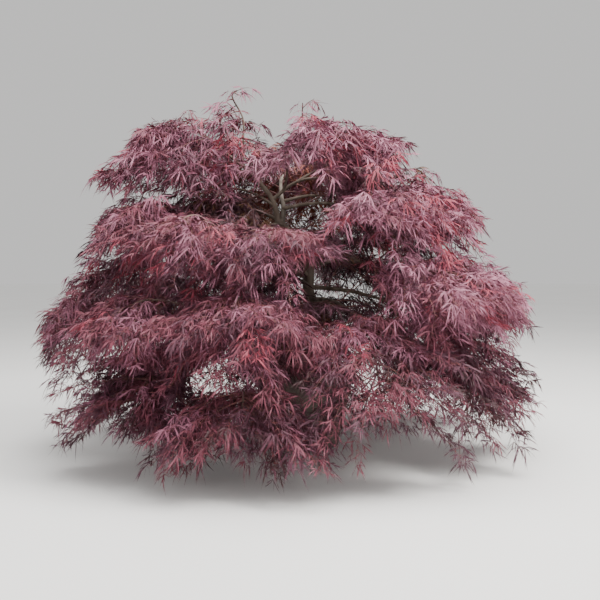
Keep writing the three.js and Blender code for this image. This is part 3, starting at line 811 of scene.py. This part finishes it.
def add_piece(name, mesh, material, nodes, smooth=True):
    """A visible piece of triangles from vertices in millimetres and faces, in place of nodes."""
    vertices, faces = mesh
    vertices = np.asarray(vertices, np.float32).reshape(-1, 3) * MM
    faces = np.asarray(faces, np.int32).reshape(-1, 3)
    data = bpy.data.meshes.new(name)
    data.vertices.add(len(vertices))
    data.vertices.foreach_set("co", vertices.ravel())
    data.loops.add(faces.size)
    data.loops.foreach_set("vertex_index", faces.ravel())
    data.polygons.add(len(faces))
    data.polygons.foreach_set("loop_start", np.arange(0, faces.size, 3, dtype=np.int32))
    data.polygons.foreach_set("loop_total", np.full(len(faces), 3, np.int32))
    data.polygons.foreach_set("use_smooth", np.full(len(faces), smooth))
    data.update(calc_edges=True)
    data.validate()
    data.materials.append(material)
    piece = bpy.data.objects.new(name, data)
    bpy.context.collection.objects.link(piece)
    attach(piece, "root")
    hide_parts(*nodes)


def joined(parts):
    """Several meshes as one."""
    vertices = []
    faces = []
    offset = 0
    for points, triangles in parts:
        vertices.append(points)
        faces.append(triangles + offset)
        offset += len(points)
    return np.vstack(vertices), np.vstack(faces)


def repeated(faces, count, corners):
    """Faces of many copies of a mesh, with the number of its corners."""
    return (faces[None] + np.arange(count)[:, None, None] * corners).reshape(-1, 3)


def tube_faces(rings, sides):
    """Faces of a tube whose corners are numbered ring by ring."""
    ring, side = np.meshgrid(np.arange(rings - 1), np.arange(sides), indexing="ij")
    a = ring * sides + side
    b = ring * sides + (side + 1) % sides
    quads = np.stack([a, b, b + sides, a, b + sides, a + sides], axis=-1)
    return quads.reshape(-1, 3)


def rings_round(tangents, sides):
    """Corners of a ring of radius 1, square to each tangent."""
    across = unit(np.cross(tangents, ASKEW))
    above = np.cross(tangents, across)
    angle = np.arange(sides)[:, None] * 2 * math.pi / sides
    return across[..., None, :] * np.cos(angle) + above[..., None, :] * np.sin(angle)


def many_tubes(lines, radii, sides):
    """Tubes along lines that all have the same number of points."""
    lines = np.asarray(lines, float)
    count, rings = lines.shape[:2]
    corners = rings_round(unit(np.gradient(lines, axis=1)), sides) * radii[:, None, None]
    vertices = lines[:, :, None] + corners
    return vertices.reshape(-1, 3), repeated(tube_faces(rings, sides), count, rings * sides)


def many_spikes(starts, ends, radius):
    """Slim three-sided spikes, each with its point at its end."""
    corners = starts[:, None] + rings_round(unit(ends - starts), 3) * radius
    vertices = np.concatenate([corners, ends[:, None]], axis=1)
    faces = np.array([(0, 1, 3), (1, 2, 3), (2, 0, 3)])
    return vertices.reshape(-1, 3), repeated(faces, len(starts), 4)


def leaf_shape(rng):
    """One leaf: for each corner its share along, across and down, and the faces."""
    corners = []
    faces = []
    for angle, length, (core, teeth) in LOBES:
        side = rng.choice([-1, 1])
        turn = math.radians(angle + rng.uniform(*LOBE_TURN))
        length = length * rng.uniform(*LOBE_LENGTHS)
        twist = rng.uniform(*LOBE_TWIST)
        bend = rng.uniform(*LOBE_BEND)
        sag = rng.uniform(*LOBE_SAG)
        base = len(corners)

        def corner(u, v):
            aside = v + bend * u * u
            along = u * math.cos(turn) - aside * math.sin(turn)
            across = u * math.sin(turn) + aside * math.cos(turn)
            corners.append((along * length, across * length, (sag * u**2 + twist * v) * length))

        for u, half in core[:-1]:
            corner(u, half)
            corner(u, -half)
        corner(1.0, 0.0)
        stations = len(core) - 1
        for i in range(stations - 1):
            a = base + 2 * i
            faces += [(a, a + 1, a + 3), (a, a + 3, a + 2)]
        last = base + 2 * (stations - 1)
        faces.append((last, last + 1, last + 2))
        for i, (u, v) in enumerate(teeth):
            left = side * v > 0
            a = base + 2 * i + (0 if left else 1)
            corner(u, side * v)
            tip = len(corners) - 1
            faces.append((a, a + 2, tip) if left else (a + 2, a, tip))
    return np.array(corners), np.array(faces)


def leaf_meshes(leaves, rng):
    """Leaves of one tint: each takes one of a few shapes, and its own size, hang, roll and droop."""
    shapes = [leaf_shape(rng) for _ in range(SHAPES_PER_PIECE)]
    data = np.array([leaf[:-1] for leaf in leaves])
    centres, ways = data[:, :3], np.column_stack([data[:, 3:5], np.zeros(len(data))])
    size, hang, roll, droop = data[:, 5:].T
    along = unit(ways - UP * hang[:, None])
    across = np.cross(UP, ways)
    across = unit(across + np.cross(along, across) * roll[:, None])
    which = rng.integers(0, len(shapes), len(data))
    parts = []
    for i, (corners, triangles) in enumerate(shapes):
        mine = which == i
        spread = along[mine, None] * corners[:, 0, None] + across[mine, None] * corners[:, 1, None]
        down = UP * corners[:, 2, None] * droop[mine, None, None]
        placed = centres[mine, None] + (spread - down) * size[mine, None, None]
        placed[..., 2] = np.maximum(placed[..., 2], GROUND_CLEARANCE)
        parts.append((placed.reshape(-1, 3), repeated(triangles, mine.sum(), len(corners))))
    return joined(parts)


def bark_height(kind, around, along, radius):
    """Relief of the bark: long shallow cracks, rings and small warts."""
    x, y = math.cos(around), math.sin(around)
    scale, lengthwise, coarse_height = COARSE_BARK
    coarse = noise.noise(Vector((x * scale, y * scale, along * lengthwise + kind)))
    scale, lengthwise, crack_depth = CRACKS
    crack = abs(noise.noise(Vector((x * scale + kind, y * scale, along * lengthwise))))
    cut = crack_depth * max(0.0, CRACK_WIDTH - crack) / CRACK_WIDTH
    scale, lengthwise, fine_height = FINE_BARK
    fine = noise.noise(Vector((x * radius * scale, y * radius * scale, along * lengthwise + kind)))
    pitch, sway, ring_height = BARK_RINGS
    ring = math.sin(along * pitch + sway * coarse) * ring_height
    return coarse * coarse_height - cut + fine * fine_height + ring


def bark_tube(limb, skin, index=0):
    """A limb's skin with its relief, and with a flare at the trunk's foot."""
    kind, sides, spacing, collar = SKINS[skin]
    kind += index
    route = limb.route
    rings = max(FEWEST_RINGS, int(route.length / spacing))
    shares = np.linspace(0, 1, rings)
    places = route.at(shares)
    tangents = route.heading(shares)
    normal = unit(np.cross(tangents[0], np.array([0.0, 1.0, 0.01])))
    vertices = []
    for share, place, tangent in zip(shares, places, tangents):
        normal = unit(normal - tangent * np.dot(normal, tangent))
        binormal = np.cross(tangent, normal)
        along = share * route.length
        radius = limb.radius(share)
        swell = 1 + collar * math.exp(-along / (COLLAR_REACH * limb.root_radius))
        for k in range(sides):
            around = 2 * math.pi * k / sides
            reach = radius * swell
            if skin == "trunk":
                lobe = 1 + FLARE_LOBE_DEPTH * math.cos(FLARE_LOBES * around)
                reach = radius + ROOT_FLARE * math.exp(-along / FLARE_HEIGHT) * lobe
            relief = min(1.0, radius / FULL_RELIEF_RADIUS)
            reach += relief * bark_height(kind, around, along, radius)
            way = normal * math.cos(around) + binormal * math.sin(around)
            vertices.append(place + way * reach)
    return np.array(vertices), tube_faces(rings, sides)


def add_node(tree, kind, **inputs):
    node = tree.nodes.new(kind)
    for name, value in inputs.items():
        node.inputs[name].default_value = value
    return node


def add_noise(tree, scale, detail, upwards=1):
    coordinates = add_node(tree, "ShaderNodeTexCoord")
    mapping = add_node(tree, "ShaderNodeMapping", Scale=(1, 1, upwards))
    texture = add_node(tree, "ShaderNodeTexNoise", Scale=scale, Detail=detail)
    tree.links.new(coordinates.outputs["Object"], mapping.inputs["Vector"])
    tree.links.new(mapping.outputs["Vector"], texture.inputs["Vector"])
    return texture.outputs["Fac"]


def add_ramp(tree, factor, stops):
    ramp = add_node(tree, "ShaderNodeValToRGB")
    elements = ramp.color_ramp.elements
    while len(elements) < len(stops):
        elements.new(0.5)
    for element, (place, colour) in zip(elements, stops):
        element.position = place
        element.color = (*colour, 1.0)
    tree.links.new(factor, ramp.inputs["Fac"])
    return ramp.outputs["Color"]


def matt(name):
    """A material of MATERIALS."""
    surface, *colours = MATERIALS[name]
    roughness, specular, grain, strength, distance, spread, places = SURFACES[surface]
    material = bpy.data.materials.new(name)
    material.use_nodes = True
    tree = material.node_tree
    shader = tree.nodes["Principled BSDF"]
    shader.inputs["Roughness"].default_value = roughness
    shader.inputs["Specular IOR Level"].default_value = specular
    if grain:
        bump = add_node(tree, "ShaderNodeBump", Strength=strength, Distance=distance)
        tree.links.new(add_noise(tree, *grain), bump.inputs["Height"])
        tree.links.new(bump.outputs["Normal"], shader.inputs["Normal"])
    if spread:
        mixed = add_ramp(tree, add_noise(tree, *spread), list(zip(places, colours)))
        tree.links.new(mixed, shader.inputs["Base Color"])
    else:
        shader.inputs["Base Color"].default_value = (*colours[0], 1.0)
    return material


def make_limbs(limbs):
    """The skins of the trunk, the stems and the boughs, in two barks."""
    parts = [bark_tube(limbs[name], name) for name in ("trunk", "stem_left")]
    parts += [bark_tube(limbs[name], "bough", index) for index, name in enumerate(BOUGHS)]
    nodes = ["trunk", "stem_left", *(f"bough_{name}" for name in BOUGHS)]
    add_piece("limbs", joined(parts), matt("bark_brown"), nodes)
    skin = bark_tube(limbs["stem_right"], "stem_right")
    add_piece("pale_stem", skin, matt("bark_grey"), ["stem_right"])


def grow_foliage(limbs):
    """The stems of all masses, and all that grows on them and inside the crown."""
    growth = Growth()
    stems = []
    for index, (name, values) in enumerate(MASSES.items()):
        stem, leaf_length = mass_stem(limbs, name, *values)
        stems.append(stem)
        width, hang = values[3:5]
        grow_mass(growth, index, stem, width, hang, leaf_length)
    for index, name in enumerate([*STEMS, *BOUGHS]):
        grow_inner(growth, index, limbs[name], LEAFINESS.get(name, "dense"))
    return stems, growth


def make_wood(stems, growth, nodes):
    """The stems of the masses, the twigs, the shoots and the leaf stalks."""
    skins = [bark_tube(stem, "mass_stem", index) for index, stem in enumerate(stems)]
    add_piece("mass_stems", joined(skins), matt("bark_young"), nodes)
    red = matt("young_wood")
    twigs = many_tubes(growth.twigs, np.linspace(*TWIG_RADII, TWIG_POINTS), TWIG_SIDES)
    add_piece("twigs", twigs, red, nodes)
    shoots = many_tubes(growth.shoots, np.linspace(*SHOOT_RADII, SHOOT_POINTS), SHOOT_SIDES)
    add_piece("shoots", shoots, red, nodes)
    starts, ends = np.array(growth.petioles).transpose(1, 0, 2)
    stalks = many_spikes(starts, ends, PETIOLE_RADIUS)
    add_piece("leaf_stalks", stalks, matt("leaf_stalks"), nodes)


def make_leaves(leaves, nodes):
    """The leaves, tint by tint, in pieces of no more than LEAVES_PER_PIECE."""
    rng = np.random.default_rng(LEAF_SEED)
    for tint in TINTS:
        material = matt(f"leaf_{tint}")
        mine = [leaf for leaf in leaves if leaf[-1] == tint]
        for part, first in enumerate(range(0, len(mine), LEAVES_PER_PIECE)):
            mesh = leaf_meshes(mine[first:first + LEAVES_PER_PIECE], rng)
            add_piece(f"leaves_{tint}_{part + 1}", mesh, material, nodes)


def lathe(profile, sides):
    """A closed profile of radius and height turned about +Z, slightly uneven as thrown clay is."""
    wobble, scale, upwards = POT_WOBBLE
    vertices = []
    for radius, height in profile:
        for k in range(sides):
            around = 2 * math.pi * k / sides
            at = Vector((math.cos(around), math.sin(around), height * upwards))
            reach = radius + wobble * noise.noise(at * scale) if radius > 1 else radius
            vertices.append((reach * math.cos(around), reach * math.sin(around), height))
    return np.array(vertices), tube_faces(len(profile), sides)


def arc(centre, radius, start, stop, count):
    """Points of an arc in radius and height, from one angle to another in degrees."""
    angles = np.radians(np.linspace(start, stop, count))
    return [(centre[0] + radius * math.cos(a), centre[1] + radius * math.sin(a)) for a in angles]


def pot_profile():
    """The pot's outline from the middle of its foot, up its ribbed side and over its rim band."""
    shoulder = POT_HEIGHT - RIM_DEPTH
    shoulder_radius = RIM_RADIUS - RIM_STEP
    rib_height, rib_pitch = THROWING_RIBS
    outer_round, inner_round = LIP_ROUNDS
    flat_start, flat_end = BAND_FLAT
    band_radius = RIM_RADIUS - RIM_INSET
    foot = arc((FOOT_RADIUS - FOOT_ROUND, FOOT_ROUND), FOOT_ROUND, -90, 0, 6)
    side = []
    for share in np.linspace(0.04, 0.98, POT_RINGS):
        radius = FOOT_RADIUS + (shoulder_radius - FOOT_RADIUS) * share
        height = FOOT_ROUND + (shoulder - FOOT_ROUND) * share
        side.append((radius + rib_height * math.sin(height * rib_pitch), height))
    return [
        (0.01, 0), *foot, *side,
        (shoulder_radius + 1, shoulder - 1), (RIM_RADIUS - BAND_ROUND, shoulder + 0.5),
        *arc((RIM_RADIUS - BAND_ROUND, shoulder + BAND_ROUND), BAND_ROUND - 0.5, -70, 0, 5),
        (band_radius, shoulder + flat_start), (band_radius, POT_HEIGHT - flat_end),
        *arc((RIM_RADIUS - outer_round, POT_HEIGHT - outer_round), outer_round, 0, 90, 8),
        *arc((RIM_RADIUS - WALL + inner_round, POT_HEIGHT - inner_round), inner_round, 90, 180, 6),
        (RIM_RADIUS - WALL - 1, shoulder + flat_start), (shoulder_radius - WALL, shoulder),
    ]


def make_pot():
    add_piece("clay_pot", lathe(pot_profile(), POT_SIDES), matt("fired_clay"), ["pot"])


def soil_height(x, y):
    """The height of the soil's surface, which dips towards the wall and is lumpy."""
    reach = math.hypot(x, y)
    dish = max(0.0, reach - SOIL_LEVEL_RADIUS) / (SOIL_EDGE - SOIL_LEVEL_RADIUS)
    lumps = 0.0
    for height, scale, layer in SOIL_LUMPS:
        lumps += height * noise.noise(Vector((x * scale, y * scale, layer)))
    return SOIL_TOP - SOIL_DISH * dish + lumps


def soil_surface(edge):
    """The soil's surface as far as its edge."""
    vertices = []
    for reach in np.linspace(1, edge, SOIL_RINGS):
        for k in range(SOIL_SIDES):
            around = 2 * math.pi * k / SOIL_SIDES
            x, y = reach * math.cos(around), reach * math.sin(around)
            vertices.append((x, y, soil_height(x, y)))
    return np.array(vertices), tube_faces(SOIL_RINGS, SOIL_SIDES)


def soil_chips(edge):
    """Crumbs of soil and chips of bark, as boxes with stray corners."""
    rng = np.random.default_rng(SOIL_SEED)
    box = np.array([(x, y, z) for z in (-1, 1) for y in (-1, 1) for x in (-1, 1)], float)
    squares = [(0, 2, 3, 1), (4, 5, 7, 6), (0, 1, 5, 4), (2, 6, 7, 3), (0, 4, 6, 2), (1, 3, 7, 5)]
    faces = np.array([t for a, b, c, d in squares for t in ((a, b, c), (a, c, d))])
    chips = []
    for _ in range(CHIPS):
        reach = edge * math.sqrt(rng.random())
        around = rng.uniform(0, 2 * math.pi)
        x, y = reach * math.cos(around), reach * math.sin(around)
        half = rng.uniform(*CHIP_HALVES, 3)
        half = half * (BARK_CHIP if rng.random() < BARK_CHIP_SHARE else SOIL_CRUMB)
        turn = rng.uniform(0, 180)
        chip = turned(box * rng.uniform(*CHIP_CORNERS, (8, 3)) * half, turn)
        chips.append((chip + (x, y, soil_height(x, y) + CHIP_LIFT), faces))
    return chips


def make_soil():
    mesh = joined([soil_surface(SOIL_EDGE + 1), *soil_chips(SOIL_EDGE + 1 - CHIP_MARGIN)])
    add_piece("potting_soil", mesh, matt("potting_soil"), ["soil"], smooth=False)


def add_light(name, kind, place, spread, power, colour):
    """A light that is aimed at the middle of the crown."""
    data = bpy.data.lights.new(name, kind)
    data.energy = power
    data.color = colour
    if kind == "AREA":
        data.size = spread
    else:
        data.angle = math.radians(spread)
    light = bpy.data.objects.new(name, data)
    light.location = place
    aim = LIGHTS_AIM - Vector(place)
    light.rotation_euler = aim.to_track_quat("-Z", "Y").to_euler()
    bpy.context.collection.objects.link(light)


def make_floor():
    bpy.ops.mesh.primitive_circle_add(
        vertices=96, radius=FLOOR_RADIUS, fill_type="NGON", location=(0, 0, -FLOOR_DROP)
    )
    floor = bpy.context.object
    floor.name = "floor"
    floor.data.materials.append(matt("studio_floor"))


def make_world():
    world = bpy.data.worlds.new("studio")
    world.use_nodes = True
    background = world.node_tree.nodes["Background"]
    background.inputs["Color"].default_value = WORLD_COLOUR
    background.inputs["Strength"].default_value = WORLD_STRENGTH
    bpy.context.scene.world = world


def make_camera():
    """The camera, at the photograph's place."""
    camera_data = bpy.data.cameras.new("camera")
    camera_data.lens = LENS
    camera_data.sensor_width = SENSOR_WIDTH
    camera = bpy.data.objects.new("camera", camera_data)
    camera.location = CAMERA_PLACE
    camera.rotation_euler = (math.radians(90 - CAMERA_DIP), 0, 0)
    bpy.context.collection.objects.link(camera)
    bpy.context.scene.camera = camera


limbs = grow_limbs()
make_limbs(limbs)
foliage_nodes = [f"foliage_{name}" for name in MASSES]
stems, growth = grow_foliage(limbs)
make_wood(stems, growth, foliage_nodes)
make_leaves(growth.leaves, foliage_nodes)
make_pot()
make_soil()
make_floor()
make_world()
for name, settings in LIGHTS.items():
    add_light(name, *settings)
make_camera()
